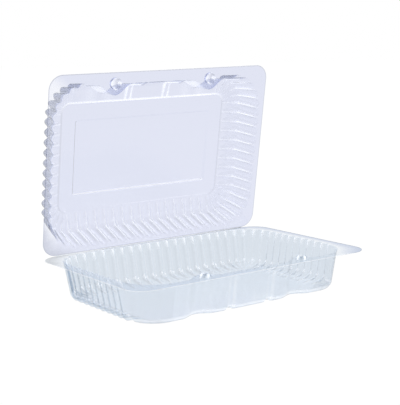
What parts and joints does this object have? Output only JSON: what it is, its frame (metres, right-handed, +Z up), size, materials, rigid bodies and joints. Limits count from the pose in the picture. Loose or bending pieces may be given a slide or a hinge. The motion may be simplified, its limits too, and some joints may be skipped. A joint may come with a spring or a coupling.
{
  "type": "plastic clamshell pack",
  "caption": "Clear hinged clamshell pack: a shallow fluted tray and a fluted lid with a raised top panel, joined along one crease, with snap buttons on the rims.",
  "frame": {"origin": "middle of the underside of the tray's flat floor, on the surface that the pack stands on", "axes": "+X along the crease, +Y from the front edge with the snap buttons to the crease, +Z up"},
  "size_m": [0.24, 0.1853, 0.1919],
  "materials": {
    "clear_sheet": "clear glossy formed sheet"
  },
  "bodies": {
    "tray": {"tray": "clear_sheet"},
    "lid": {"lid": "clear_sheet"}
  },
  "joints": [
    {"name": "lid_hinge", "type": "hinge", "parent": "tray", "child": "lid", "pos_m": [0, 0.078, 0.0342], "axis": [-1, 0, 0], "range_deg": [-80, 100]}
  ]
}
